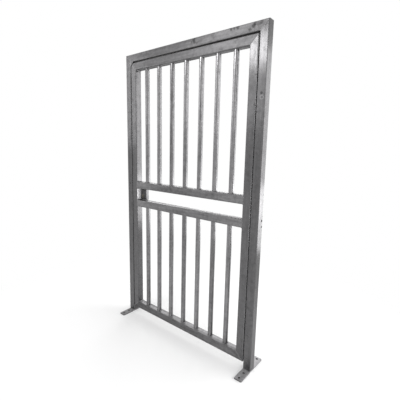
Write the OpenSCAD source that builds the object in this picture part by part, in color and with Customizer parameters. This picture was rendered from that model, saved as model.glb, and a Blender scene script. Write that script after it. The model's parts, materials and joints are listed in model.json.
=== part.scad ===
// Side gate for a full-height turnstile: a galvanised box-section portal frame on two
// foot plates, with one barred leaf hung in it on weld-on barrel hinges.
// Millimetres. X runs along the gate from the lock post, Y to the back, Z up.
// The origin is the centre of the underside of the lock post's foot plate.

/* [Frame] */
// Overall width over both posts
frame_w = 1350; // [1000:10:1800]
// Overall height from the ground
frame_h = 2350; // [1900:10:2600]
// Outside size of the square box section
section = 60; // [40:5:80]
// Wall of the box section
wall = 3; // [2:0.5:5]
// Outside corner radius of the box section
corner_r = 6; // [5.5:0.5:9]
// Leg of the gusset in the frame's corner over the lock stile
gusset_leg = 36; // [26:1:50]

/* [Foot plates] */
// Length of each foot plate, across the gate
foot_l = 300; // [240:10:420]
// Thickness of each foot plate
foot_t = 8; // [6:1:15]
// Corner radius of each foot plate
foot_r = 6; // [2:1:12]
// Diameter of each anchor hole
anchor_d = 12; // [9:1:18]
// From the end of the plate to its first anchor hole
anchor_edge = 22; // [16:1:30]
// From the first anchor hole to the second
anchor_pitch = 60; // [40:5:70]

/* [Leaf] */
// Gap between the leaf and the lock post
lock_gap = 7; // [7:1:15]
// Gap between the leaf and the hinge post
hinge_gap = 6; // [6:1:12]
// Gap between the leaf and the header
top_gap = 10; // [6:1:20]
// Gap between the leaf's bevelled corner and the gusset
bevel_gap = 8; // [7:1:12]
// Height of the leaf above the foot plates
ground_gap = 50; // [20:5:120]
// Height of the underside of the lower mid rail from the ground
mid_rail_z = 1050; // [850:10:1200]
// Clear height of the slot between the two mid rails
slot_h = 104; // [80:2:160]

/* [Bars] */
// Number of bars in each panel
bar_count = 7; // [5:1:7]
// From a stile to the centre of the nearest bar
bar_inset = 113.5; // [60:0.5:140]
// Outside diameter of a bar
bar_d = 38; // [20:1:42]
// Wall of a bar
bar_wall = 2.5; // [2:0.5:4]

/* [Lock] */
// Width of the lock case
case_w = 71; // [50:1:100]
// Depth of the lock case, front to back
case_d = 29; // [20:1:40]
// How far the case stands out behind the leaf
case_proud = 15; // [5:1:20]
// Plate thickness of the lock case
case_wall = 3; // [2:0.5:4]
// Height of the key cylinder above the lower mid rail
key_z = 38; // [25:1:60]
// Diameter of the escutcheon round the key cylinder
escutcheon_d = 30; // [26:1:44]

/* [Hinges] */
// Outside diameter of a hinge barrel
barrel_d = 22; // [18:1:28]
// Height of each half of a hinge
barrel_h = 55; // [40:5:80]
// Diameter of a hinge pin
pin_d = 12; // [8:1:14]
// Radial clearance of the pin in its bore
pin_play = 0.05; // [0.03:0.01:0.1]
// Gap between the two halves of a hinge
half_gap = 0.5; // [0.4:0.1:1]
// Thickness of the wings that are welded to the tubes
wing_t = 6; // [4:1:8]
// Width of a wing from the hinge axis
wing_w = 42; // [30:1:55]
// From the top or bottom of the leaf to the middle of the nearer hinge
hinge_inset = 230; // [150:10:400]

/* [Cable entry] */
// Diameter of the cable hole in the hinge post's outer side
cable_d = 14; // [8:1:16]
// Diameter of the fixing hole below it
fixing_d = 8; // [5:1:12]
// Height of the cable hole from the ground
cable_z = 1113; // [1000:1:1300]
// From the cable hole down to the fixing hole
fixing_drop = 41; // [30:1:60]

/* [Hidden] */
$fn = 48;

inner_r = corner_r - wall;
half = section / 2;
over = 1;

post_x0 = -half;
post_x1 = post_x0 + frame_w;
opening_x0 = post_x0 + section;
opening_x1 = post_x1 - section;
header_z = frame_h - section;

leaf_x0 = opening_x0 + lock_gap;
leaf_x1 = opening_x1 - hinge_gap;
leaf_z0 = foot_t + ground_gap;
leaf_z1 = header_z - top_gap;
panel_x0 = leaf_x0 + section;
panel_x1 = leaf_x1 - section;
slot_z0 = mid_rail_z + section;
slot_z1 = slot_z0 + slot_h;
leaf_bevel = gusset_leg - lock_gap - top_gap + bevel_gap * sqrt(2);

bar_x0 = panel_x0 + bar_inset;
bar_pitch = (panel_x1 - panel_x0 - 2 * bar_inset) / (bar_count - 1);

// Both holes lie on the flat of the side, as near the back as the cable hole allows
hole_y = half - corner_r - cable_d / 2;

case_y = half + case_proud - case_d;
key_offset = 6;
key_x = panel_x0 + case_w / 2 - key_offset;
key_barrel_d = 17;
key_web_w = 10;
key_drop = 18;
key_stand = 5;
escutcheon_t = 2;

barrel_clearance = 1;
axis_x = leaf_x1 + hinge_gap / 2;
axis_y = half + barrel_clearance + barrel_d / 2;
bore_end = 8;
pin_end_play = 2;
bore_l = barrel_h - bore_end;
pin_l = bore_l - pin_end_play;
lower_hinge_z = leaf_z0 + hinge_inset;
upper_hinge_z = leaf_z1 - hinge_inset;

// Square with round corners, its lower left corner at the origin
module round_square(size, r) {
    translate([r, 0]) square([size[0] - 2 * r, size[1]]);
    translate([0, r]) square([size[0], size[1] - 2 * r]);
    for (x = [r, size[0] - r], y = [r, size[1] - r])
        translate([x, y]) circle(r);
}

// The box section's outline, centred
module section_outline() {
    translate([-half, -half]) round_square([section, section], corner_r);
}

// The box section's profile, centred
module section_profile() {
    difference() {
        section_outline();
        translate([wall - half, wall - half])
            round_square([section - 2 * wall, section - 2 * wall], inner_r);
    }
}

// A plate in the X-Z plane, as deep as the section and a little more: cuts ends to shape
module cutter(points) {
    translate([0, half + over, 0]) rotate([90, 0, 0])
        linear_extrude(section + 2 * over) polygon(points);
}

// Upright profile from z0 to z1 with its centre at x
module upright(x, z0, z1) {
    translate([x, 0, z0]) linear_extrude(z1 - z0) children();
}

// Level profile from x0 to x1 with its centre at z
module level(z, x0, x1) {
    translate([x0, 0, z]) rotate([90, 0, 90]) linear_extrude(x1 - x0) children();
}

// Plain length of box section between two stiles, its underside at z
module mid_rail(z) {
    color("silver") level(z + half, panel_x0, panel_x1) section_profile();
}

// Ends of a four-sided frame: its left side, or its top, cut to the mitres
module left_mitre(x, z0, z1) {
    cutter([[x, z0], [x + section, z0 + section], [x + section, z1 - section], [x, z1]]);
}

module right_mitre(x, z0, z1) {
    cutter([[x, z0], [x, z1], [x - section, z1 - section], [x - section, z0 + section]]);
}

module top_mitre(x0, x1, z) {
    cutter([[x0, z], [x1, z], [x1 - section, z - section], [x0 + section, z - section]]);
}

module bottom_mitre(x0, x1, z) {
    cutter([[x0, z], [x0 + section, z + section], [x1 - section, z + section], [x1, z]]);
}

// ---- Frame ----

module lock_post() {
    color("gainsboro") intersection() {
        upright(post_x0 + half, foot_t, frame_h) section_profile();
        cutter([[post_x0, foot_t], [opening_x0, foot_t], [opening_x0, header_z], [post_x0, frame_h]]);
    }
}

// Hole through the outer side of the hinge post
module side_hole(z, d) {
    translate([post_x1 - wall - over, hole_y, z]) rotate([0, 90, 0])
        cylinder(d = d, h = wall + 2 * over);
}

module hinge_post() {
    color("gainsboro") difference() {
        intersection() {
            upright(post_x1 - half, foot_t, frame_h) section_profile();
            cutter([[opening_x1, foot_t], [post_x1, foot_t], [post_x1, frame_h], [opening_x1, header_z]]);
        }
        side_hole(cable_z, cable_d);
        side_hole(cable_z - fixing_drop, fixing_d);
    }
}

module header() {
    color("gainsboro") intersection() {
        level(frame_h - half, post_x0, post_x1) section_profile();
        top_mitre(post_x0, post_x1, frame_h);
    }
}

// Triangle in the X-Z plane below the header and beside the lock post
module gusset_prism(leg, depth) {
    translate([opening_x0, depth / 2, header_z]) rotate([90, 0, 0])
        linear_extrude(depth) polygon([[0, 0], [0, -leg], [leg, 0]]);
}

// Folded gusset: a slanting plate with a cheek at the front and one at the back
module corner_gusset() {
    color("gainsboro") difference() {
        gusset_prism(gusset_leg, section);
        gusset_prism(gusset_leg - wall * sqrt(2), section - 2 * wall);
    }
}

module foot_plate(x) {
    color("gainsboro") difference() {
        translate([x - half, -foot_l / 2, 0])
            linear_extrude(foot_t) round_square([section, foot_l], foot_r);
        for (side = [-1, 1], step = [0, 1])
            translate([x, side * (foot_l / 2 - anchor_edge - step * anchor_pitch), -over])
                cylinder(d = anchor_d, h = foot_t + 2 * over);
    }
}

// ---- Leaf ----

// The leaf's upper corner on the lock side, bevelled by depth more than the finished face
module corner_cut(depth) {
    leg = leaf_bevel + depth * sqrt(2);
    cutter([[leaf_x0 - over, leaf_z1 + over], [leaf_x0 - over, leaf_z1 - leg - over],
            [leaf_x0 + leg + over, leaf_z1 + over]]);
}

module lock_stile() {
    color("silver") difference() {
        intersection() {
            upright(leaf_x0 + half, leaf_z0, leaf_z1) section_profile();
            left_mitre(leaf_x0, leaf_z0, leaf_z1);
        }
        corner_cut(wall);
    }
}

module hinge_stile() {
    color("silver") intersection() {
        upright(leaf_x1 - half, leaf_z0, leaf_z1) section_profile();
        right_mitre(leaf_x1, leaf_z0, leaf_z1);
    }
}

module top_rail() {
    color("silver") difference() {
        intersection() {
            level(leaf_z1 - half, leaf_x0, leaf_x1) section_profile();
            top_mitre(leaf_x0, leaf_x1, leaf_z1);
        }
        corner_cut(wall);
    }
}

module bottom_rail() {
    color("silver") intersection() {
        level(leaf_z0 + half, leaf_x0, leaf_x1) section_profile();
        bottom_mitre(leaf_x0, leaf_x1, leaf_z0);
    }
}

// Plate that closes the bevelled corner, trimmed to the outline of the tubes
module leaf_corner_plate() {
    color("silver") difference() {
        intersection() {
            union() {
                intersection() {
                    upright(leaf_x0 + half, leaf_z0, leaf_z1) section_outline();
                    left_mitre(leaf_x0, leaf_z0, leaf_z1);
                }
                intersection() {
                    level(leaf_z1 - half, leaf_x0, leaf_x1) section_outline();
                    top_mitre(leaf_x0, leaf_x1, leaf_z1);
                }
            }
            corner_cut(wall);
        }
        corner_cut(0);
    }
}

// One round bar of a panel, from rail to rail
module bar(i, z0, z1) {
    color("silver") translate([bar_x0 + (i - 1) * bar_pitch, 0, z0]) difference() {
        cylinder(d = bar_d, h = z1 - z0);
        translate([0, 0, -over]) cylinder(d = bar_d - 2 * bar_wall, h = z1 - z0 + 2 * over);
    }
}

// ---- Lock ----

module lock_case() {
    color("lightslategray") difference() {
        translate([panel_x0, case_y, slot_z0]) cube([case_w, case_d, slot_h]);
        translate([panel_x0 + case_wall, case_y + case_wall, slot_z0 + case_wall])
            cube([case_w - 2 * case_wall, case_d - 2 * case_wall, slot_h - 2 * case_wall]);
    }
}

// Lies on the case's front, pointing forward
module on_case(y) {
    translate([key_x, case_y - y, slot_z0 + key_z]) rotate([90, 0, 0]) children();
}

module key_outline() {
    circle(d = key_barrel_d);
    translate([-key_web_w / 2, -key_drop]) square([key_web_w, key_drop]);
    translate([0, -key_drop]) circle(d = key_web_w);
}

module escutcheon() {
    color("dimgray") on_case(0) linear_extrude(escutcheon_t) difference() {
        union() {
            circle(d = escutcheon_d);
            translate([0, -key_drop]) circle(d = escutcheon_d - key_web_w);
        }
        key_outline();
    }
}

module key_cylinder() {
    color("goldenrod") on_case(0) linear_extrude(key_stand) key_outline();
}

// ---- Hinges ----

// z is the joint between the two halves
module hinge_post_half(z) {
    color("darkgray") {
        translate([axis_x, axis_y, z - barrel_h]) cylinder(d = barrel_d, h = barrel_h);
        translate([axis_x, axis_y, z - over]) cylinder(d = pin_d, h = pin_l + over);
        translate([axis_x, half, z - barrel_h]) cube([wing_w, wing_t, barrel_h]);
    }
}

module hinge_leaf_half(z) {
    z0 = z + half_gap;
    color("darkgray") difference() {
        union() {
            translate([axis_x, axis_y, z0]) cylinder(d = barrel_d, h = barrel_h);
            translate([axis_x - wing_w, half, z0]) cube([wing_w, wing_t, barrel_h]);
        }
        translate([axis_x, axis_y, z0 - over]) cylinder(d = pin_d + 2 * pin_play, h = bore_l + over);
    }
}

lock_post();
hinge_post();
header();
corner_gusset();
foot_plate(0);  // lock_foot_plate
foot_plate(frame_w - section);  // hinge_foot_plate
lock_stile();
hinge_stile();
top_rail();
mid_rail(slot_z1);  // upper_mid_rail
mid_rail(mid_rail_z);  // lower_mid_rail
bottom_rail();
leaf_corner_plate();
for (i = [1:bar_count]) {
    bar(i, slot_z1 + section, leaf_z1 - section);
    bar(i, leaf_z0 + section, mid_rail_z);
}
lock_case();
escutcheon();
key_cylinder();
hinge_post_half(lower_hinge_z);  // lower_hinge_post_half
hinge_leaf_half(lower_hinge_z);  // lower_hinge_leaf_half
hinge_post_half(upper_hinge_z);  // upper_hinge_post_half
hinge_leaf_half(upper_hinge_z);  // upper_hinge_leaf_half
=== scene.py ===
# %% [markdown]
# # A galvanised side gate
# The gate is a welded box-section portal on two foot plates, with a barred leaf hung in it. The steel
# construction comes from CAD as a fixed frame. This script adds what makes it look like a real one: the
# zinc coat, the weld beads, the lock's small parts, and a plain studio that the metal can reflect.
# Everything is in metres: X along the gate, Y to the back, Z up.

# %% Load the frame
import bmesh
import bpy
import json
from math import cos, pi, radians, sin, tau
from mathutils import Matrix, Vector

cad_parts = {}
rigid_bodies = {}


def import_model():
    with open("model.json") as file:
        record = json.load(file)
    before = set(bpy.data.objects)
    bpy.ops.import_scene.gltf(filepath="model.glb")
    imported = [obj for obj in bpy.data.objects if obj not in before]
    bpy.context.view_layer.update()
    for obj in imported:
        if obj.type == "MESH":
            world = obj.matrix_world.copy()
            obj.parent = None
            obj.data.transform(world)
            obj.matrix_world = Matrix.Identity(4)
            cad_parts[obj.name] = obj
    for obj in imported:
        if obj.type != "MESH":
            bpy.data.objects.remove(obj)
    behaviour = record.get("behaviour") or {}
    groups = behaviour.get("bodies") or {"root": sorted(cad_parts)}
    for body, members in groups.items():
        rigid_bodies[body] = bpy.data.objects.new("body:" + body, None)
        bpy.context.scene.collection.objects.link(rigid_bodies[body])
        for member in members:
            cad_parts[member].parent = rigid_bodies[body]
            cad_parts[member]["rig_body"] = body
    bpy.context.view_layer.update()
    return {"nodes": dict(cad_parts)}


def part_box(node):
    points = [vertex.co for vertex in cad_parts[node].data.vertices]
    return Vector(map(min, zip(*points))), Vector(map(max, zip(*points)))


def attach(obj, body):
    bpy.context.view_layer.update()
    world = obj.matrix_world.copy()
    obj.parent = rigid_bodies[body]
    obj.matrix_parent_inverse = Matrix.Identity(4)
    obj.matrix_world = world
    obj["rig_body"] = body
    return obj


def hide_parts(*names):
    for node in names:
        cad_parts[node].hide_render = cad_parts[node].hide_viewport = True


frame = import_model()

nodes = frame["nodes"]

# %% [markdown]
# The welds and screws sit on the CAD pieces, so their places are worked out from the pieces' own boxes.
# Typed-in places would drift away from the steel as soon as a size changed. Only the stains, which could
# have fallen anywhere, keep heights of their own. A `Box` names the six sides of one piece.

# %% Places on the frame
MM = 0.001


class Box:
    """The box of one CAD node, with a name for each side."""

    def __init__(self, node):
        low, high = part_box(node)
        self.x0, self.y0, self.z0 = low
        self.x1, self.y1, self.z1 = high
        self.centre = (low + high) / 2


lock_post, hinge_post, header = Box("lock_post"), Box("hinge_post"), Box("header")
lock_stile, hinge_stile = Box("lock_stile"), Box("hinge_stile")
top_rail, bottom_rail = Box("top_rail"), Box("bottom_rail")
upper_rail, lower_rail = Box("upper_mid_rail"), Box("lower_mid_rail")
case, gusset = Box("lock_case"), Box("corner_gusset")
bars = {name: Box(name) for name in nodes if "_bar_" in name}
tube = lock_post.y1 - lock_post.y0
tube_corner = 6 * MM
gate_middle = header.centre.x
print(f"box section {tube / MM:.0f} mm, {len(bars)} bars, gate {header.z1:.2f} m high")

# %% [markdown]
# Every piece ends as a plain mesh on an object that stands at the origin, so that a pattern on Object
# coordinates runs on from piece to piece. These helpers make an object, fill one from bmesh, and turn
# what modifiers show into the piece's own mesh.

# %% Helpers for objects
def new_object(name, data):
    made = bpy.data.objects.new(name, data)
    bpy.context.collection.objects.link(made)
    return made


def from_bmesh(name, mesh, material=None):
    """An object from a finished bmesh."""
    data = bpy.data.meshes.new(name)
    mesh.to_mesh(data)
    mesh.free()
    if material:
        data.materials.clear()
        data.materials.append(material)
    return new_object(name, data)


def settle(piece):
    """Keeps what the modifiers show as the piece's own mesh, and takes the modifiers off."""
    old = piece.data
    seen = piece.evaluated_get(bpy.context.evaluated_depsgraph_get())
    made = bpy.data.meshes.new_from_object(seen)
    piece.modifiers.clear()
    piece.data = made
    bpy.data.meshes.remove(old)
    made.name = piece.name
    return made


# %% [markdown]
# Materials are built from nodes. `Wire` wraps one socket, so that a pattern can be written as an
# expression: `1 - mask * 0.3` adds the Math nodes it needs. `Tree.add` makes any other node: its
# settings first, then its sockets. Colours are mixed by Mix nodes, because Math would turn them grey.

# %% One socket in an expression
class Wire:
    """One node socket that can be used in Python expressions."""

    def __init__(self, tree, socket):
        self.tree, self.socket = tree, socket

    def math(self, operation, *values):
        return self.tree.add("ShaderNodeMath", {"operation": operation}, dict(enumerate(values)))

    def single(self, operation):
        """An operation on this value alone, such as its square root."""
        return self.math(operation, self)

    def __add__(self, other):
        return self.math("ADD", self, other)

    def __sub__(self, other):
        return self.math("SUBTRACT", self, other)

    def __rsub__(self, other):
        return self.math("SUBTRACT", other, self)

    def __mul__(self, other):
        return self.math("MULTIPLY", self, other)

    def __truediv__(self, other):
        return self.math("DIVIDE", self, other)

    __radd__, __rmul__ = __add__, __mul__

    def over(self, low, high):
        """0 below low, 1 above high, and a smooth step between. Low may be the larger one."""
        settings = {"interpolation_type": "SMOOTHSTEP"}
        values = {"Value": self, "From Min": low, "From Max": high}
        return self.tree.add("ShaderNodeMapRange", settings, values)


# %% A node tree
class Tree:
    """Adds nodes to a node tree."""

    def __init__(self, nodes_of):
        self.made = nodes_of

    def add(self, kind, settings=None, values=None, out=0):
        node = self.made.nodes.new(kind)
        for name, value in (settings or {}).items():
            setattr(node, name, value)
        for name, value in (values or {}).items():
            self.plug(node.inputs[name], value)
        return Wire(self, node.outputs[out])

    def plug(self, socket, value):
        if isinstance(value, Wire):
            self.made.links.new(value.socket, socket)
        else:
            socket.default_value = value

    def vector(self, operation, *values, **more):
        """Vector Math, for places and directions."""
        settings = {"operation": operation}
        return self.add("ShaderNodeVectorMath", settings, {**dict(enumerate(values)), **more})

    def split(self, vector):
        parts = self.add("ShaderNodeSeparateXYZ", None, {0: vector})
        return [Wire(self, socket) for socket in parts.socket.node.outputs]

    def noise(self, vector, scale, detail=3.0):
        """Soft noise, about 0 to 1, with so many blobs to the metre."""
        values = {"Vector": vector, "Scale": scale, "Detail": detail, "Roughness": 0.55}
        return self.add("ShaderNodeTexNoise", None, values)

    def blend(self, mask, first, second):
        """Mixes two colours by a mask."""
        values = {0: mask, 6: first, 7: second}
        return self.add("ShaderNodeMix", {"data_type": "RGBA"}, values, out=2)


# %% A material to fill in
def new_material(name):
    """An empty node material, its tree, and its Principled shader."""
    material = bpy.data.materials.new(name)
    material.use_nodes = True
    shader = material.node_tree.nodes["Principled BSDF"]
    return material, Tree(material.node_tree), shader


def grey(value):
    return (value, value, value, 1)


# %% [markdown]
# ## The camera
# The gate is looked at from in front of its hinge side, close to it, so the posts converge and the hinge
# post is nearer than the lock post. A Track To constraint could aim a camera, but it can't lean it. Here
# the angles are set as turns about the vertical, about its own side, and about its own line of sight.

# %% Camera
camera_place = Vector((2.2374, -1.7852, 1.5834))
camera_turn, camera_tilt, camera_roll = 0.6775, -0.1692, 0.0228
focal_by_width = 0.7605  # focal length over sensor width

camera_data = bpy.data.cameras.new("camera")
camera_data.sensor_width = 36
camera_data.lens = camera_data.sensor_width * focal_by_width
camera = new_object("camera", camera_data)
camera.matrix_world = (
    Matrix.Translation(camera_place)
    @ Matrix.Rotation(camera_turn, 4, "Z")
    @ Matrix.Rotation(pi / 2 + camera_tilt, 4, "X")
    @ Matrix.Rotation(camera_roll, 4, "Z")
)
bpy.context.scene.camera = camera
bpy.context.scene.view_settings.view_transform = "Standard"
print(f"camera {camera_place.z:.2f} m high, lens {camera_data.lens:.1f} mm")

# %% [markdown]
# ## The studio
# Bare metal shows mostly what stands round it, so the studio matters as much as the metal. It is plain: a
# white world and a pale floor give the background, and the metal reflects that same white. The world
# lights the gate at a lower level than it shows, so that the lamps can still model its shape.

# %% World
world_light = 0.74


def seen_directly(tree):
    """1 where a ray shows the background, straight or in metal or glass, and 0 where it only lights."""
    rays = tree.add("ShaderNodeLightPath").socket.node
    kinds = [Wire(tree, rays.outputs[f"Is {kind} Ray"]) for kind in ("Camera", "Glossy", "Transmission")]
    return (kinds[0] + kinds[1] + kinds[2]).over(0.2, 0.8)


world = bpy.data.worlds.new("studio")
bpy.context.scene.world = world
world.use_nodes = True
sky = Tree(world.node_tree)
background = world.node_tree.nodes["Background"]
sky.plug(background.inputs["Color"], (1, 1, 1, 1))
sky.plug(background.inputs["Strength"], world_light + seen_directly(sky) * (1 - world_light))
print(f"white world, lighting at {world_light}")

# %% [markdown]
# Eight soft lamps stand round the gate, as softboxes do in any studio, and the metal sees them too. The
# window and the low one beside it light the gate from behind at the right, and two more at the right, one
# high and one near the floor, round off the bars. A strip high at the front draws the bright band on the
# stiles, with a soft front lamp under it, and two at the left keep the far sides from going flat.

# %% Soft lamps
def softbox(name, direction, away, height, size, watts, aim):
    """A soft lamp that faces the gate. Direction 0 is the front, 90 the right and 180 the back."""
    data = bpy.data.lights.new(name, "AREA")
    data.shape = "RECTANGLE"
    data.energy = watts
    data.size, data.size_y = size
    lamp = new_object(name, data)
    turn = radians(direction)
    place = Vector((gate_middle + away * sin(turn), -away * cos(turn), height))
    facing = (Vector((gate_middle, 0, aim)) - place).to_track_quat("-Z", "Y")
    lamp.matrix_world = Matrix.Translation(place) @ facing.to_matrix().to_4x4()
    lamp.visible_camera = False
    return lamp


lamps = [
    softbox("window", direction=122, away=4.2, height=1.8, size=(4.4, 3.2), watts=116, aim=1.8),
    softbox("low_window", direction=142, away=2.9, height=0.55, size=(2.6, 1.0), watts=27, aim=0.6),
    softbox("right", direction=78, away=3.2, height=0.6, size=(2.4, 1.0), watts=8, aim=0.6),
    softbox("high_right", direction=70, away=3.2, height=2.5, size=(2.0, 1.2), watts=13, aim=1.6),
    softbox("strip", direction=-22, away=3.4, height=3.3, size=(1.7, 0.5), watts=26, aim=1.6),
    softbox("front", direction=-24, away=3.7, height=2.7, size=(2.4, 1.3), watts=9, aim=1.6),
    softbox("back_left", direction=-142, away=4.2, height=3.0, size=(2.4, 1.8), watts=43, aim=1.8),
    softbox("left", direction=-59, away=4.2, height=2.4, size=(0.9, 1.6), watts=12, aim=1.6),
]
print(f"{len(lamps)} soft lamps, {sum(lamp.data.energy for lamp in lamps):.0f} W together")

# %% [markdown]
# The floor is a wide pale disc. Near the gate it is an ordinary matt floor and takes the gate's shadow.
# Further off it turns to an even white for every ray that sees it directly, so that its rim never shows
# against the white world. A plain floor alone would end in a grey horizon.

# %% Floor
floor_radius = 30
real_floor, white_floor = 0.9, 2.2  # metres out from the gate's middle

floor_material, floor_tree, floor_shader = new_material("pale_floor")
floor_place = floor_tree.add("ShaderNodeTexCoord", out="Object")
floor_cloud = floor_tree.noise(floor_place, 1.4)
floor_tree.plug(floor_shader.inputs["Base Color"], floor_tree.blend(floor_cloud, grey(0.95), grey(0.97)))
floor_shader.inputs["Roughness"].default_value = 0.9
floor_shader.inputs["Specular IOR Level"].default_value = 0.0
outwards = floor_tree.vector("SUBTRACT", floor_place, (gate_middle, 0, 0))
outwards = floor_tree.add("ShaderNodeVectorMath", {"operation": "LENGTH"}, {0: outwards}, out="Value")
far_off = outwards.over(real_floor, white_floor) * seen_directly(floor_tree)
white = floor_tree.add("ShaderNodeEmission", None, {"Color": (1, 1, 1, 1), "Strength": 1.0})
floor_shaded = Wire(floor_tree, floor_shader.outputs["BSDF"])
floor_mix = floor_tree.add("ShaderNodeMixShader", None, {0: far_off, 1: floor_shaded, 2: white})
floor_end = floor_material.node_tree.nodes["Material Output"]
floor_tree.plug(floor_end.inputs["Surface"], floor_mix)

floor_mesh = bmesh.new()
bmesh.ops.create_circle(floor_mesh, cap_ends=True, segments=64, radius=floor_radius)
bmesh.ops.translate(floor_mesh, vec=(gate_middle, 0, 0), verts=floor_mesh.verts)
floor = from_bmesh("floor", floor_mesh, floor_material)
print(f"floor {2 * floor_radius} m across, all white from {white_floor} m out")

# %% [markdown]
# ## The zinc
# Hot-dip zinc on drawn tube is a satin grey metal. It is cloudy over a hand's width, has fine lines along
# the tube from the drawing, small dark specks of dross, and the faint angular shapes of zinc crystals.
# Each of these is one pattern on Object coordinates, which are the same for every piece, and they are
# added up to one tone. Clouds, streaks and lines are drawn out along the tube, so uprights and rails have
# a material each.

# %% Galvanised steel
def zinc(value):
    """The grey of zinc, a touch cold."""
    return (value * 1.005, value * 0.992, value * 1.014, 1)


def clean(tree, x, y, z):
    """No marks: nothing dark, nothing pale, nothing covered."""
    return 0.0, 0.0, 0.0


def galvanised(
    name, stretch=(1, 1, 1), tone=0.13, turn=0.0, gloss=0.26, brushed=0.9, metal=0.96,
    contrast=1.0, mottle=1.0, dirt=1.0, relief=0.3, marks=clean, cover_colour=zinc(0.85),
):
    """Zinc-coated steel. Stretch is how the pattern is drawn out along X, Y and Z."""
    material, tree, shader = new_material(name)
    place = tree.add("ShaderNodeTexCoord", out="Object")
    drawn = tree.add("ShaderNodeMapping", None, {"Vector": place, "Scale": stretch})
    cloud = tree.noise(drawn, 11)
    streaks = tree.noise(drawn, 75, detail=2)
    lines = tree.noise(drawn, 260, detail=2)
    blotch = tree.noise(place, 40)
    patches = tree.noise(place, 24).over(0.5, 0.7)
    specks = tree.noise(place, 170, detail=2).over(0.66, 0.76)
    crystals = tree.add("ShaderNodeTexVoronoi", None, {"Vector": place, "Scale": 130}, out="Color")
    crystal = tree.split(crystals)[0]
    x, y, z = tree.split(place)
    grime = z.over(0.25, 0.0) * tree.noise(place, 14) * dirt
    dark, pale, cover = marks(tree, x, y, z)

    shade = (cloud - 0.5) * 0.6 + (streaks - 0.5) * 0.4 + (lines - 0.5) * 0.15
    shade = shade + (blotch - 0.5) * 0.4 * mottle + (crystal - 0.5) * 0.06
    shade = shade - patches * 0.12 * mottle - specks * 0.25
    shade = 0.5 + shade * contrast - grime * 0.25 - dark * 0.45 + pale * 0.3
    colour = tree.blend(shade, zinc(tone * 0.5), zinc(tone * 1.5))
    tree.plug(shader.inputs["Base Color"], tree.blend(cover, colour, cover_colour))

    bare = metal - specks * 0.25 - grime * 0.3 - patches * 0.05 - dark * 0.2
    tree.plug(shader.inputs["Metallic"], bare * (1 - cover * 0.8))
    tree.plug(shader.inputs["Roughness"], gloss + (cloud - 0.5) * 0.1 + patches * 0.03 + dark * 0.15)
    shader.inputs["Anisotropic"].default_value = brushed
    shader.inputs["Anisotropic Rotation"].default_value = turn
    height = streaks * 0.22
    bump = tree.add("ShaderNodeBump", None, {"Strength": relief, "Distance": 0.4 * MM, "Height": height})
    tree.plug(shader.inputs["Normal"], bump)
    return material


# %% [markdown]
# Some marks have a place of their own: a drip with its dried ring on the hinge post, smudges on the
# header where it was handled, and painted shade in the anchor holes. They could be painted on a texture,
# but that needs UVs on every tube. Each is a soft spot in the gate's own coordinates instead, and its
# edge is broken up by noise, so that it isn't a perfect circle.

# %% Spots
def apart(across, up):
    """How far off a point is, from how far it is each way."""
    return (across * across + up * up).single("SQRT")


def spot(tree, x, z, at_x, at_z, size, ragged=0.5):
    """1 inside a ragged blot, 0 outside. All in metres."""
    place = tree.add("ShaderNodeCombineXYZ", None, {"X": x, "Z": z})
    stray = (tree.noise(place, 1.2 / size, detail=4) - 0.5) * size * 2 * ragged
    return (apart(x - at_x, z - at_z) + stray).over(size, size * 0.6)


def spots(tree, x, z, places, ragged=0.5):
    """Several spots added up, each with its place, its size and how dark it is."""
    total = 0.0
    for at_x, at_z, size, depth in places:
        total = total + spot(tree, x, z, at_x, at_z, size, ragged) * depth
    return total


def front_face(y):
    """1 on the front of a tube, 0 behind it."""
    return y.over(-20 * MM, -28 * MM)


# %% Marks on posts and stiles
cable_y, cable_z = 0.017, 1.113  # the cable hole in the hinge post's outer side
fixing_z = cable_z - 41 * MM


def post_marks(tree, x, y, z):
    """The drip, its ring, dots near the gap, painted shade in the holes, a painted reflection, white rust
    in the gap.
    """
    front = front_face(y)
    middle = hinge_post.centre.x
    drip = spot(tree, x, z, middle + 2 * MM, 1.927, 11 * MM, 0.15)
    ring_x, ring_z = middle + 5 * MM, 1.902
    ring_outer = spot(tree, x, z, ring_x, ring_z, 18 * MM, 0.15)
    ring_inner = spot(tree, x, z, ring_x, ring_z, 10.5 * MM, 0.15)
    dots = drip + spots(tree, x, z, (
        (hinge_stile.x1 - 8 * MM, 2.04, 8 * MM, 0.6),
        (hinge_stile.x1 - 4 * MM, 1.862, 12 * MM, 0.5),
        (hinge_post.x0 + 5 * MM, 1.848, 11 * MM, 0.5),
        (hinge_post.x0 + 5 * MM, 1.815, 9 * MM, 0.5),
        (lock_post.centre.x + 4 * MM, 1.251, 9 * MM, 0.9),
        (lock_post.x0 + 3 * MM, 1.253, 7 * MM, 1.2),
        (middle + 2 * MM, 0.046, 17 * MM, 0.5),
        (middle + 14 * MM, 0.024, 12 * MM, 0.5),
    ))
    dark = (dots + ring_inner * 0.25) * front
    pale = (ring_outer - ring_inner) * front * 1.7

    outer_face = x.over(hinge_post.x1 - 5 * MM, hinge_post.x1 - 1 * MM)
    # Painted shade: dark spots over the fixing and cable holes in the post's outer side stand in for the
    # shade inside them.
    dark = dark + spot(tree, y, z, cable_y, fixing_z, 9 * MM, 0.2) * outer_face * 1.4
    dark = dark + spot(tree, y, z, cable_y, cable_z, 10 * MM, 0.2) * outer_face

    # Painted reflection: the lock stile's inner face between the middle rails is covered pale, as if it
    # shone.
    on_lock_side = x.over(0.2, 0.15)
    inner_face = x.over(lock_stile.x1 - 1.2 * MM, lock_stile.x1 - 0.4 * MM) * on_lock_side
    over_lower = z.over(lower_rail.z1 - 4 * MM, lower_rail.z1)
    under_upper = z.over(upper_rail.z0 + 4 * MM, upper_rail.z0)
    painted_reflection = inner_face * over_lower * under_upper
    past_stile = x.over(hinge_stile.x1 - 3 * MM, hinge_stile.x1 - 1 * MM)
    white_rust = past_stile * x.over(hinge_post.x0 + 3 * MM, hinge_post.x0 + 1 * MM) * 0.2
    return dark, pale, painted_reflection + white_rust


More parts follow.
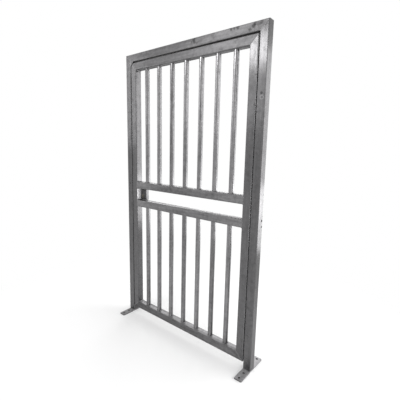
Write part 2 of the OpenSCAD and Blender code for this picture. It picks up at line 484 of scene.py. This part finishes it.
# %% Marks on the rails and the header
def header_marks(tree, x, y, z):
    """Smudges on the header, painted shade under it and the top rail, a painted sheen on the bottom rail.
    """
    smudges = spots(tree, x, z, (
        (0.735, 2.334, 15 * MM, 1.1), (0.745, 2.318, 12 * MM, 0.9), (0.765, 2.31, 10 * MM, 0.7),
        (0.715, 2.324, 9 * MM, 0.6), (1.049, 2.339, 12 * MM, 0.8), (1.075, 2.342, 11 * MM, 0.8),
        (1.10, 2.341, 14 * MM, 0.9), (1.19, 2.31, 14 * MM, 0.7), (1.215, 2.325, 17 * MM, 0.8),
        (1.222, 2.338, 14 * MM, 0.8), (1.25, 2.33, 19 * MM, 0.5), (1.27, 2.336, 14 * MM, 0.5),
    ), ragged=0.9)
    # Darker towards the bottom: the rail below about 0.1 m is darkened.
    darker_low_down = z.over(0.135, 0.1) * 0.35
    # Painted shade: the header's underside over the leaf and the top rail's underside are darkened.
    painted_crevice_shade = z.over(header.z0 + MM, header.z0 + 0.3 * MM) * z.over(top_rail.z1, header.z0 - MM)
    painted_shade_under_rail = z.over(top_rail.z0 + 0.4 * MM, top_rail.z0) * z.over(top_rail.z0 - MM, top_rail.z0)
    # Painted sheen: the bottom rail's top is covered a little paler.
    low_down = z.over(0.3, 0.28)
    painted_top_sheen = z.over(bottom_rail.z1 - 0.4 * MM, bottom_rail.z1) * low_down
    return smudges * front_face(y) + darker_low_down + painted_crevice_shade + painted_shade_under_rail * 0.7, 0.0, painted_top_sheen * 0.12


# %% Marks on the plates, the gusset and the lock case
foot_plate = Box("lock_foot_plate")
anchor_reach = (128 * MM, 68 * MM)


def plate_marks(tree, x, y, z):
    """On the foot plates: painted shade in the anchor holes and on the lock-side plate, and dark cut
    edges.
    """
    # Painted shade: the anchor holes are covered near black, standing in for the shade inside them.
    holes = 0.0
    for post in (lock_post, hinge_post):
        for side in (-1, 1):
            for reach in anchor_reach:
                off_centre = apart(x - post.centre.x, y - side * reach)
                holes = holes + off_centre.over(10 * MM, 7 * MM)
    reach = y.single("ABSOLUTE")
    past_post = reach.over(tube / 2 + 10 * MM, tube / 2 + 12 * MM)
    long_edge = past_post * z.over(foot_plate.z1 - 0.6 * MM, foot_plate.z1 - 1.4 * MM)
    cut_edge = reach.over(foot_plate.y1 - 2 * MM, foot_plate.y1 - 0.6 * MM) + long_edge
    # Painted shade: the whole foot plate on the lock side is made darker and duller.
    on_lock_side = x.over(0.2, 0.1)
    dull = z.over(20 * MM, 15 * MM) * on_lock_side
    return cut_edge * 0.8 + dull, 0.0, holes.over(0.1, 0.9) + cut_edge * 0.35


def corner_marks(tree, x, y, z):
    """Painted shade: the gusset's slanting face, in the shade of the leaf's corner, is darkened and
    covered.
    """
    slant = (z - gusset.z0) - (x - gusset.x0)
    painted_crevice_shade = slant.over(1.2 * MM, 0.5 * MM) * slant.over(-1.5 * MM, -0.7 * MM)
    painted_crevice_shade = painted_crevice_shade * x.over(gusset.x0 - MM, gusset.x0) * x.over(gusset.x1 + MM, gusset.x1)
    return painted_crevice_shade, 0.0, painted_crevice_shade * 0.8


def case_marks(tree, x, y, z):
    """Painted shade: the lock case's front, in the shade of the slot, is darkened."""
    return y.over(case.y0 + 3 * MM, case.y0 + 0.5 * MM) * 1.3, 0.0, 0.0


# %% [markdown]
# One recipe makes every zinc finish on the gate. Box section shines along the lines it was drawn with,
# round bars are smoother and shine more, and plate is cut from rolled sheet, so it is paler and duller,
# and its grain has no direction.

# %% The zinc finishes
# Near black: the cover for painted shade in the anchor holes and on the gusset's slanting face, and on
# the plates' cut edges.
near_black = grey(0.015)
upright_zinc = galvanised(
    "zinc_on_uprights", (1, 1, 0.06), contrast=1.15, mottle=0.9, relief=0.15, marks=post_marks,
)
level_zinc = galvanised(
    "zinc_on_rails", (0.08, 1, 1), tone=0.172, turn=0.25, gloss=0.42, contrast=1.7, mottle=0.8,
    marks=header_marks,
)
bar_zinc = galvanised(
    "zinc_on_bars", (1, 1, 0.05), tone=0.21, gloss=0.22, brushed=0.7, contrast=2.3, mottle=0.6,
)
plate_zinc = galvanised(
    "zinc_on_plates", tone=0.4, gloss=0.5, brushed=0.0, metal=0.75, dirt=0.3, contrast=1.3,
    marks=plate_marks, cover_colour=near_black,
)
corner_zinc = galvanised(
    "zinc_on_corner_plates", tone=0.15, gloss=0.36, brushed=0.0, marks=corner_marks,
    cover_colour=near_black,
)
weld_zinc = galvanised("zinc_on_welds", tone=0.21, gloss=0.4, brushed=0.0)
case_zinc = galvanised("zinc_on_lock_case", tone=0.16, gloss=0.4, brushed=0.0, marks=case_marks)
hinge_zinc = galvanised("zinc_on_hinges", tone=0.25, gloss=0.42, brushed=0.0, metal=0.85)
print("zinc finishes:", sum("zinc" in material.name for material in bpy.data.materials))

# %% [markdown]
# The lock's trim is plain dark steel, rubbed a little brighter in patches. The cylinder is brass, and its
# patches have gone brown. Both are small machined parts with fine scratches, so they share one recipe.

# %% Trim steel and brass
def handled(name, bright, dull, gloss):
    """A small machined part: fine scratches, dull patches."""
    material, tree, shader = new_material(name)
    place = tree.add("ShaderNodeTexCoord", out="Object")
    scratched = tree.add("ShaderNodeMapping", None, {"Vector": place, "Scale": (1, 1, 0.2)})
    scratches = tree.noise(scratched, 900, detail=2)
    patch = tree.noise(place, 160, detail=4)
    mask = patch * 0.7 + scratches * 0.5 - 0.1
    tree.plug(shader.inputs["Base Color"], tree.blend(mask, dull, bright))
    tree.plug(shader.inputs["Roughness"], gloss + (patch - 0.5) * 0.3)
    shader.inputs["Metallic"].default_value = 0.9
    height = scratches * 0.4 + patch
    bump = tree.add("ShaderNodeBump", None, {"Strength": 0.2, "Distance": 0.2 * MM, "Height": height})
    tree.plug(shader.inputs["Normal"], bump)
    return material


trim_steel = handled("trim_steel", grey(0.2), grey(0.07), 0.4)
brass = handled("cylinder_brass", (0.2, 0.175, 0.13, 1), (0.07, 0.06, 0.045, 1), 0.36)
print("machined finishes:", trim_steel.name, brass.name)


# %% Which piece gets which finish
def material_for(name):
    if "_bar_" in name:
        return bar_zinc
    if name.endswith(("_post", "_stile")):
        return upright_zinc
    if name.endswith("_rail") or name == "header":
        return level_zinc
    if name == "lock_case":
        return case_zinc
    if name in ("corner_gusset", "leaf_corner_plate"):
        return corner_zinc
    return plate_zinc


for name, node in nodes.items():
    node.data.materials.clear()
    node.data.materials.append(material_for(name))
print(f"{len(nodes)} CAD pieces have their finish")

# %% [markdown]
# ## Weld beads
# Every joint of the gate is a MIG weld: a rope of metal with small ripples, where each drop of the pool
# froze over the last. A bead follows a seam, so it is the natural thing to build with Geometry Nodes: the
# seams are drawn as bare edges, and one node tree turns each into a rippled rope. Each point of a seam
# also carries the direction it faces, which keeps a flat bead lying flat on its tube.

# %% The weld bead tree
def named_input(group, name, kind, value=None):
    socket = group.interface.new_socket(name, in_out="INPUT", socket_type=kind)
    if value is not None:
        socket.default_value = value
    return socket.identifier


def seam_facing(tree):
    """The way that each point of a seam faces, as the seam's mesh carries it."""
    settings = {"data_type": "FLOAT_VECTOR"}
    return tree.add("GeometryNodeInputNamedAttribute", settings, {"Name": "facing"})


def bead_group():
    """Edges in, rippled beads out."""
    group = bpy.data.node_groups.new("weld_bead", "GeometryNodeTree")
    tree = Tree(group)
    named_input(group, "Seams", "NodeSocketGeometry")
    ids = {
        "Size": named_input(group, "Size", "NodeSocketFloat", 3 * MM),
        "Flatness": named_input(group, "Flatness", "NodeSocketFloat", 0.8),
        "Ripple Pitch": named_input(group, "Ripple Pitch", "NodeSocketFloat", 2.8 * MM),
        "Ripple Depth": named_input(group, "Ripple Depth", "NodeSocketFloat", 0.22),
        "Wander": named_input(group, "Wander", "NodeSocketFloat", 0.5),
        "Seed": named_input(group, "Seed", "NodeSocketFloat", 1.0),
        "Metal": named_input(group, "Metal", "NodeSocketMaterial"),
    }
    group.interface.new_socket("Beads", in_out="OUTPUT", socket_type="NodeSocketGeometry")
    start = tree.add("NodeGroupInput").socket.node
    given = {name: Wire(tree, start.outputs[name]) for name in ("Seams", *ids)}
    pitch = given["Ripple Pitch"]

    seam = tree.add("GeometryNodeMeshToCurve", None, {"Mesh": given["Seams"]})
    seam = tree.add("GeometryNodeResampleCurve", {"mode": "LENGTH"}, {"Curve": seam, "Length": pitch / 3})
    place = tree.add("GeometryNodeInputPosition")
    noisy = {"Vector": place, "W": given["Seed"], "Scale": 160.0, "Detail": 2.0}
    stray = tree.add("ShaderNodeTexNoise", {"noise_dimensions": "4D"}, noisy, out="Color")
    stray = tree.vector("SUBTRACT", stray, (0.5, 0.5, 0.5))
    stray = tree.vector("SCALE", stray, Scale=given["Size"] * given["Wander"])
    seam = tree.add("GeometryNodeSetPosition", None, {"Geometry": seam, "Offset": stray})
    values = {"Curve": seam, "Normal": seam_facing(tree)}
    seam = tree.add("GeometryNodeSetCurveNormal", {"mode": "FREE"}, values)

    along = tree.add("GeometryNodeSplineParameter", out="Length")
    swell = tree.add("ShaderNodeTexNoise", {"noise_dimensions": "4D"}, {**noisy, "Scale": 60.0})
    ripple = (along / pitch).single("FRACT")
    width = 1 + (ripple - 0.5) * given["Ripple Depth"] + (swell - 0.5) * given["Wander"]
    rope = tree.add("GeometryNodeCurvePrimitiveCircle", None, {"Resolution": 8, "Radius": given["Size"]})
    flat = tree.add("ShaderNodeCombineXYZ", None, {"X": given["Flatness"], "Y": 1.0, "Z": 1.0})
    rope = tree.add("GeometryNodeTransform", None, {"Geometry": rope, "Scale": flat})
    values = {"Curve": seam, "Profile Curve": rope, "Scale": width, "Fill Caps": True}
    bead = tree.add("GeometryNodeCurveToMesh", None, values)
    bead = tree.add("GeometryNodeSetShadeSmooth", None, {"Geometry": bead})
    bead = tree.add("GeometryNodeRealizeInstances", None, {"Geometry": bead})
    bead = tree.add("GeometryNodeSetMaterial", None, {"Geometry": bead, "Material": given["Metal"]})
    end = group.nodes.new("NodeGroupOutput")
    tree.plug(end.inputs["Beads"], bead)
    return group, ids


weld_bead, weld_inputs = bead_group()
print(f"weld bead tree with {len(weld_bead.nodes)} nodes")

# %% [markdown]
# A modifier carries the tree. Its inputs are set before Blender first looks at the object, the result is
# kept as a plain mesh, and the modifier goes away, so nothing is left to be worked out again later.

# %% From seams to a piece
def grown(name, mesh, group, ids, values):
    """Runs a node tree over a mesh and keeps the result as a plain piece."""
    piece = new_object(name, mesh)
    modifier = piece.modifiers.new("nodes", "NODES")
    modifier.node_group = group
    for label, value in values.items():
        modifier[ids[label]] = value
    settle(piece)
    return piece


def seam_mesh(seams):
    """Draws the seams as edges. A seam is its places, the way each one faces, and whether it closes."""
    points, edges, facing = [], [], []
    for places, ways, closed in seams:
        first, last = len(points), len(points) + len(places) - 1
        points += places
        facing += ways
        edges += [(k, k + 1) for k in range(first, last)]
        if closed:
            edges.append((last, first))
    mesh = bpy.data.meshes.new("seams")
    mesh.from_pydata(points, edges, [])
    attribute = mesh.attributes.new("facing", "FLOAT_VECTOR", "POINT")
    for item, way_out in zip(attribute.data, facing):
        item.vector = way_out
    return mesh


def weld(name, body, seams, size, flatness=0.8, seed=1.0):
    """Lays beads along the seams and lets them ride on a body."""
    values = {"Size": size, "Flatness": flatness, "Seed": seed, "Metal": weld_zinc}
    piece = grown(name, seam_mesh(seams), weld_bead, weld_inputs, values)
    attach(piece, body)
    length = sum((b - a).length for places, ways, closed in seams for a, b in zip(places, places[1:]))
    print(f"{name}: {len(seams)} seams, {length:.2f} m, {len(piece.data.polygons)} faces")
    return piece


# %% [markdown]
# The seams come in three kinds: a straight run, a ring round the foot of a bar, and a hoop round the end
# of a rail. Fillets face halfway between the two surfaces they join.

# %% Kinds of seam
def way(x, y, z):
    return Vector((x, y, z)).normalized()


def run(start, end, facing):
    """A straight seam."""
    return [Vector(start), Vector(end)], [facing, facing], False


def ring(centre, radius, up, turn):
    """Round the foot of a bar. Up is 1 above a rail and -1 below it. Turn is where the welder started."""
    steps = 24
    angles = [turn + tau * step / steps for step in range(steps)]
    places = [centre + Vector((cos(a) * radius, sin(a) * radius, 0)) for a in angles]
    return places, [way(cos(a), sin(a), up) for a in angles], True


def hoop(x, out, rail):
    """Round a rail's end on the face of a stile. Out is the side on which the rail lies."""
    bend = 5 * MM
    half_y, half_z = bend - 2 * MM, bend + 0.8 * MM
    fillet_out, flush_back = 1.0 * MM, 2.2 * MM
    places, ways = [], []
    for quarter in range(4):
        for step in range(4):
            angle = tau * (quarter + step / 3) / 4
            side_y = 1 if quarter in (0, 3) else -1
            side_z = 1 if quarter in (0, 1) else -1
            y = side_y * (tube / 2 - bend) + cos(angle) * half_y
            z = side_z * (tube / 2 - bend) + sin(angle) * half_z
            shift = abs(sin(angle)) * fillet_out - abs(cos(angle)) * flush_back
            places.append(Vector((x + out * shift, rail.centre.y + y, rail.centre.z + z)))
            ways.append(way(out * 0.7, cos(angle), sin(angle)))
    return places, ways, True


# %% [markdown]
# ## The leaf's welds
# Mitred corners have a ground-down seam on the front and back and a full fillet inside. The middle rails
# end on the stiles and are welded all round. Each bar has a ring at both ends, and each ring starts at a
# new angle, a golden angle on from the bar before, so that no two look alike.

# %% Seams of the leaf's corners
face_gap = 0.2 * MM
fillet_gap = 0.8 * MM
edge = tube_corner + 1 * MM
deep = tube / 2 - tube_corner
bevel = Box("leaf_corner_plate")
half_bevel = (bevel.x1 - bevel.x0) / 2 + 3 * MM
inside = {
    "left": lock_stile.x1, "right": hinge_stile.x0, "top": top_rail.z0, "bottom": bottom_rail.z1,
}
outside = {
    ("left", "top"): (lock_stile.x0 + half_bevel, top_rail.z1 - half_bevel),
    ("right", "top"): (hinge_stile.x1 - edge, top_rail.z1 - edge),
    ("left", "bottom"): (lock_stile.x0 + edge, bottom_rail.z0 + edge),
    ("right", "bottom"): (hinge_stile.x1 - edge, bottom_rail.z0 + edge),
}
leaf_seams, leaf_fillets = [], []
for face in (-1, 1):
    y = face * (tube / 2 - face_gap)
    flat = Vector((0, face, 0))
    for (side, level), (x, z) in outside.items():
        leaf_seams.append(run((x, y, z), (inside[side], y, inside[level]), flat))
    bevel_low = (bevel.x0 + 5 * MM, y, bevel.z0 + 1 * MM)
    leaf_seams.append(run(bevel_low, (bevel.x1 - 1 * MM, y, bevel.z1 - 5 * MM), flat))
for side, out in (("left", 1), ("right", -1)):
    for level, up in (("bottom", 1), ("top", -1)):
        x, z = inside[side] + out * fillet_gap, inside[level] + up * fillet_gap
        leaf_fillets.append(run((x, -deep, z), (x, deep, z), way(out, 0, up)))
weld("leaf_corner_seams", "leaf", leaf_seams, 3 * MM, flatness=0.3, seed=3)
weld("leaf_corner_fillets", "leaf", leaf_fillets, 4 * MM, seed=4)

# %% Seams of the middle rails and the bars
rail_seams = []
for rail in (lower_rail, upper_rail):
    rail_seams.append(hoop(inside["left"], 1, rail))
    rail_seams.append(hoop(inside["right"], -1, rail))
weld("rail_end_welds", "leaf", rail_seams, 3.2 * MM, seed=5)

bar_seams = []
bar_gap = 0.6 * MM
golden_angle = radians(137.5)
for count, bar in enumerate(bars.values()):
    radius = (bar.x1 - bar.x0) / 2 + bar_gap
    low = Vector((bar.centre.x, bar.centre.y, bar.z0 + bar_gap))
    high = Vector((bar.centre.x, bar.centre.y, bar.z1 - bar_gap))
    bar_seams.append(ring(low, radius, 1, count * golden_angle))
    bar_seams.append(ring(high, radius, -1, count * golden_angle + 2))
weld("bar_welds", "leaf", bar_seams, 2.6 * MM, flatness=1.0, seed=6)

# %% [markdown]
# ## The frame's welds
# The two top corners are mitred too, with the gusset's edges welded on the front and back. The posts
# stand on their plates in a fillet at the front and the back, where the plate is longer than the post.

# %% Seams of the portal and the feet
frame_seams, frame_fillets, foot_seams = [], [], []
for face in (-1, 1):
    y = face * (tube / 2 - face_gap)
    flat = Vector((0, face, 0))
    top_z, inner_z = header.z1 - edge, header.z0
    frame_seams.append(run((header.x0 + edge, y, top_z), (lock_post.x1, y, inner_z), flat))
    frame_seams.append(run((header.x1 - edge, y, top_z), (hinge_post.x0, y, inner_z), flat))
    frame_seams.append(run((gusset.x0, y, gusset.z0 + 2 * MM), (gusset.x0, y, gusset.z1), flat))
    frame_seams.append(run((gusset.x0, y, gusset.z1), (gusset.x1 - 2 * MM, y, gusset.z1), flat))
    for post in (lock_post, hinge_post):
        z = post.z0 + 1 * MM
        y_foot = face * (tube / 2 + 1 * MM)
        half_foot = [(deep - 2 * MM, 0), (deep + 3 * MM, -4 * MM)]
        around = [(-dx, dy) for dx, dy in reversed(half_foot)] + half_foot
        places = [Vector((post.centre.x + dx, y_foot + face * dy, z)) for dx, dy in around]
        foot_seams.append((places, [way(0, face, 1)] * len(around), False))
corner_x, corner_z = hinge_post.x0 - 0.6 * MM, header.z0 - 0.6 * MM
frame_fillets.append(run((corner_x, -deep, corner_z), (corner_x, deep, corner_z), way(-1, 0, -1)))
weld("portal_corner_seams", "frame", frame_seams, 3 * MM, flatness=0.3, seed=7)
weld("portal_inner_fillet", "frame", frame_fillets, 3 * MM, seed=8)
weld("foot_welds", "frame", foot_seams, 4.2 * MM, seed=9)

# %% Seams of the lock case
seam_left, seam_right = case.x0 + 1 * MM, case.x1 + 0.6 * MM
seam_front, seam_low, seam_high = case.y0 - 0.5 * MM, case.z0 + 1 * MM, case.z1 - 1 * MM
left_end, right_end = case.x0 + 3 * MM, case.x1 - 2 * MM
front_end, back_end = case.y0 + 1 * MM, lower_rail.y1 - 6 * MM
low_end, high_end = case.z0 + 3 * MM, case.z1 - 3 * MM
case_seams = [
    run((seam_left, seam_front, low_end), (seam_left, seam_front, high_end), way(1, -1, 0)),
    run((left_end, seam_front, seam_low), (right_end, seam_front, seam_low), way(0, -1, 1)),
    run((left_end, seam_front, seam_high), (right_end, seam_front, seam_high), way(0, -1, -1)),
    run((seam_right, front_end, seam_low), (seam_right, back_end, seam_low), way(1, 0, 1)),
]
weld("lock_case_welds", "leaf", case_seams, 2.6 * MM, seed=10)

# %% [markdown]
# ## The hinges' welds
# Each half of a hinge is a barrel with a flat wing, and the wing is welded round its three free sides.
# The bead stops short of the gap, so that it can't touch the other half when the leaf swings.

# %% Seams of the hinge wings
wing_height = 55 * MM
wing_gap = 0.6 * MM
wing_ways = ((0, 1, -1), (1, 1, -1), (1, 1, 0), (1, 1, 0), (1, 1, 1), (0, 1, 1))
for level in ("lower", "upper"):
    for owner, body, out in (("post", "frame", 1), ("leaf", "leaf", -1)):
        half = Box(f"{level}_hinge_{owner}_half")
        near = (hinge_post.x0 + 4 * MM) if owner == "post" else (hinge_stile.x1 - 4 * MM)
        tip = half.x1 if owner == "post" else half.x0
        past_tip, before_tip = tip + out * wing_gap, tip - out * 2 * MM
        low, high = half.z0, half.z0 + wing_height
        y = hinge_post.y1 + 0.8 * MM
        corners = (
            (near, low - wing_gap), (before_tip, low - wing_gap), (past_tip, low + 3 * MM),
            (past_tip, high - 3 * MM), (before_tip, high + wing_gap), (near, high + wing_gap),
        )
        places = [Vector((x, y, z)) for x, z in corners]
        ways = [way(out * x, y_way, z) for x, y_way, z in wing_ways]
        weld(f"{level}_hinge_{owner}_welds", body, [(places, ways, False)], 2.4 * MM, seed=11)

# %% [markdown]
# ## Spatter
# MIG welding throws tiny balls of metal beside the seam, and some are still there under the zinc. They
# are instances of one small ball on random points near the flat seams, pushed only sideways, so that
# each one sits on the tube. Placing them by hand would be slow, and it would look placed.

# %% Spatter tree
def spatter_group():
    """Edges in, little balls near them out."""
    group = bpy.data.node_groups.new("spatter", "GeometryNodeTree")
    tree = Tree(group)
    named_input(group, "Seams", "NodeSocketGeometry")
    ids = {
        "Spacing": named_input(group, "Spacing", "NodeSocketFloat", 4 * MM),
        "Reach": named_input(group, "Reach", "NodeSocketFloat", 18 * MM),
        "Ball": named_input(group, "Ball", "NodeSocketFloat", 0.9 * MM),
        "Seed": named_input(group, "Seed", "NodeSocketInt", 1),
        "Metal": named_input(group, "Metal", "NodeSocketMaterial"),
    }
    group.interface.new_socket("Balls", in_out="OUTPUT", socket_type="NodeSocketGeometry")
    start = tree.add("NodeGroupInput").socket.node
    given = {name: Wire(tree, start.outputs[name]) for name in ("Seams", *ids)}

    seam = tree.add("GeometryNodeMeshToCurve", None, {"Mesh": given["Seams"]})
    values = {"Curve": seam, "Length": given["Spacing"]}
    seam = tree.add("GeometryNodeResampleCurve", {"mode": "LENGTH"}, values)
    points = tree.add("GeometryNodeCurveToPoints", {"mode": "EVALUATED"}, {"Curve": seam})
    ends = {"Min": (-1.0, -1.0, -1.0), "Max": (1.0, 1.0, 1.0), "Seed": given["Seed"]}
    throw = tree.add("FunctionNodeRandomValue", {"data_type": "FLOAT_VECTOR"}, ends)
    throw = tree.vector("MULTIPLY", throw, tree.vector("ABSOLUTE", throw))
    lift = tree.vector("PROJECT", throw, seam_facing(tree))
    throw = tree.vector("SUBTRACT", throw, lift)
    throw = tree.vector("SCALE", throw, Scale=given["Reach"])
    points = tree.add("GeometryNodeSetPosition", None, {"Geometry": points, "Offset": throw})

    ball = tree.add("GeometryNodeMeshIcoSphere", None, {"Radius": given["Ball"], "Subdivisions": 2})
    ball = tree.add("GeometryNodeSetShadeSmooth", None, {"Geometry": ball})
    values = {2: 0.3, 3: 1.0, "Seed": given["Seed"] + 7}
    scale = tree.add("FunctionNodeRandomValue", {"data_type": "FLOAT"}, values, out=1)
    values = {"Points": points, "Instance": ball, "Scale": scale}
    balls = tree.add("GeometryNodeInstanceOnPoints", None, values)
    balls = tree.add("GeometryNodeRealizeInstances", None, {"Geometry": balls})
    balls = tree.add("GeometryNodeSetMaterial", None, {"Geometry": balls, "Material": given["Metal"]})
    end = group.nodes.new("NodeGroupOutput")
    tree.plug(end.inputs["Balls"], balls)
    return group, ids


spatter, spatter_inputs = spatter_group()
print(f"spatter tree with {len(spatter.nodes)} nodes")


# %% Spatter beside the seams
def scatter(name, body, seams, seed):
    """Spatter beside flat seams."""
    values = {"Seed": seed, "Metal": weld_zinc}
    piece = grown(name, seam_mesh(seams), spatter, spatter_inputs, values)
    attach(piece, body)
    print(f"{name}: {len(piece.data.polygons)} faces")


beside, reach = 16 * MM, 26 * MM
leaf_spatter, frame_spatter = [], []
for face in (-1, 1):
    y = face * (tube / 2 - 0.1 * MM)
    flat = Vector((0, face, 0))
    for level, up in (("top", 1), ("bottom", -1)):
        for side, out in (("left", -1), ("right", 1)):
            x, z = inside[side], inside[level]
            begin = (x + out * beside, y, z + up * beside)
            leaf_spatter.append(run(begin, (x + out * reach, y, z + up * reach), flat))
    for rail in (lower_rail, upper_rail):
        for x in (inside["left"] + beside, inside["right"] - beside):
            leaf_spatter.append(run((x, y, rail.z0 + 22 * MM), (x, y, rail.z1 - 22 * MM), flat))
    for post in (lock_post, hinge_post):
        for z, half in ((header.z0 + 26 * MM, 4 * MM), (post.z0 + 24 * MM, 9 * MM)):
            frame_spatter.append(run((post.centre.x - half, y, z), (post.centre.x + half, y, z), flat))
scatter("leaf_spatter", "leaf", leaf_spatter, 2)
scatter("frame_spatter", "frame", frame_spatter, 3)

# %% [markdown]
# ## Softened plates
# A cut or folded plate never has a razor edge, and zinc rounds it further. The plates, the gusset, the
# lock case and the hinges are therefore replaced by copies whose edges carry a small bevel. The CAD
# copy is loose triangles, so its doubles are merged and its flat faces joined before the bevel.

# %% Soften an edge
def softened(node, width, material, segments=2):
    """A bevelled copy of a CAD node, which it replaces."""
    mesh = bmesh.new()
    mesh.from_mesh(nodes[node].data)
    bmesh.ops.remove_doubles(mesh, verts=mesh.verts, dist=0.01 * MM)
    bmesh.ops.dissolve_limit(mesh, angle_limit=radians(1), verts=mesh.verts, edges=mesh.edges)
    bmesh.ops.recalc_face_normals(mesh, faces=mesh.faces)
    piece = from_bmesh(f"{node}_finished", mesh, material)
    rounding = piece.modifiers.new("bevel", "BEVEL")
    rounding.width, rounding.segments = width, segments
    rounding.limit_method, rounding.angle_limit = "ANGLE", radians(30)
    made = settle(piece)
    made.shade_smooth()
    made.set_sharp_from_angle(angle=radians(32))
    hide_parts(node)
    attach(piece, nodes[node]["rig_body"])
    return piece


softened("lock_case", 1.6 * MM, case_zinc, segments=3)
for node in ("lock_foot_plate", "hinge_foot_plate"):
    softened(node, 1.0 * MM, plate_zinc)
for node in ("corner_gusset", "leaf_corner_plate"):
    softened(node, 0.8 * MM, corner_zinc)
for level in ("lower", "upper"):
    for owner in ("post", "leaf"):
        softened(f"{level}_hinge_{owner}_half", 0.8 * MM, hinge_zinc)
print("softened plates, case and hinges")

# %% [markdown]
# ## The keyhole
# The escutcheon is a pressed trim plate round a profile cylinder. The cylinder's face is brass, with a
# turning plug and a bent key slot in it. The plug's seat and the slot are cut with Boolean modifiers,
# because they are the only true holes in a piece this small.

# %% Cutters
def block(name, centre, size):
    """A box used as a cutter."""
    mesh = bmesh.new()
    bmesh.ops.create_cube(mesh, size=1)
    bmesh.ops.scale(mesh, vec=size, verts=mesh.verts)
    bmesh.ops.translate(mesh, vec=centre, verts=mesh.verts)
    return from_bmesh(name, mesh)


def turned(name, centre, radius, depth, material=None):
    """A round cutter or plug along Y."""
    mesh = bmesh.new()
    bmesh.ops.create_cone(
        mesh, cap_ends=True, segments=48, radius1=radius, radius2=radius, depth=depth,
        matrix=Matrix.Translation(centre) @ Matrix.Rotation(pi / 2, 4, "X"),
    )
    return from_bmesh(name, mesh, material)


def cut(piece, cutters):
    """Takes the cutters out of a piece for good."""
    for cutter in cutters:
        boolean = piece.modifiers.new("cut", "BOOLEAN")
        boolean.operation, boolean.object, boolean.solver = "DIFFERENCE", cutter, "EXACT"
    made = settle(piece)
    for cutter in cutters:
        bpy.data.objects.remove(cutter)
    made.set_sharp_from_angle(angle=radians(32))


# %% Escutcheon and cylinder
softened("escutcheon", 0.5 * MM, trim_steel)
cylinder = softened("key_cylinder", 0.35 * MM, brass)
key_box = Box("key_cylinder")
plug_radius, seat_gap = 5.2 * MM, 0.15 * MM
plug_x, plug_z = key_box.centre.x, key_box.z1 - (key_box.x1 - key_box.x0) / 2
front_y = key_box.y0

seat = turned("plug_seat", Vector((plug_x, front_y, plug_z)), plug_radius + seat_gap, 1.2 * MM)
cut(cylinder, [seat])
plug = turned("key_plug", Vector((plug_x, front_y + 1.5 * MM, plug_z)), plug_radius, 2.8 * MM, brass)
slot_deep = 4 * MM
slot_top = block(
    "slot_top", Vector((plug_x, front_y, plug_z + 2.0 * MM)), (1.9 * MM, slot_deep, 3.4 * MM),
)
slot_mid = block(
    "slot_mid", Vector((plug_x + 0.35 * MM, front_y, plug_z)), (1.2 * MM, slot_deep, 2.4 * MM),
)
slot_low = block(
    "slot_low", Vector((plug_x, front_y, plug_z - 2.2 * MM)), (1.9 * MM, slot_deep, 2.6 * MM),
)
cut(plug, [slot_top, slot_mid, slot_low])
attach(plug, "leaf")
print(f"plug {2 * plug_radius / MM:.1f} mm across, {len(plug.data.polygons)} faces")

# %% [markdown]
# A single low screw holds the lock case's end plate, on the side that faces the opening. Its head is a
# profile spun round its own axis, and the two innermost rings are drawn in to a hexagon for the socket.

# %% Lock case screw
def screw(name, centre, radius, height):
    """A low round head along X with a hexagon socket."""
    steps = 36
    profile = (  # reach from the axis, rise, and whether the ring is a hexagon
        (0.5, 0.55, True), (0.52, 1.0, True), (0.8, 0.92, False), (0.97, 0.6, False), (1.0, 0.0, False),
    )
    mesh = bmesh.new()
    rows = []
    for reach, rise, hexagon in profile:
        row = []
        for step in range(steps):
            angle = tau * step / steps
            wide = radius * reach
            if hexagon:
                wide = wide * cos(pi / 6) / cos((angle % (tau / 6)) - pi / 6)
            offset = Vector((height * rise, cos(angle) * wide, sin(angle) * wide))
            row.append(mesh.verts.new(Vector(centre) + offset))
        rows.append(row)
    for inner, outer in zip(rows, rows[1:]):
        for step in range(steps):
            after = (step + 1) % steps
            mesh.faces.new((inner[step], outer[step], outer[after], inner[after]))
    mesh.faces.new(rows[0])
    mesh.faces.new(list(reversed(rows[-1])))
    bmesh.ops.recalc_face_normals(mesh, faces=mesh.faces)
    piece = from_bmesh(name, mesh, trim_steel)
    piece.data.shade_smooth()
    piece.data.set_sharp_from_angle(angle=radians(40))
    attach(piece, "leaf")
    return piece


case_screw = screw("lock_case_screw", (case.x1, case.y1 - 6 * MM, case.z0 + 32 * MM), 3.8 * MM, 2 * MM)
print(f"screw with {len(case_screw.data.polygons)} faces")
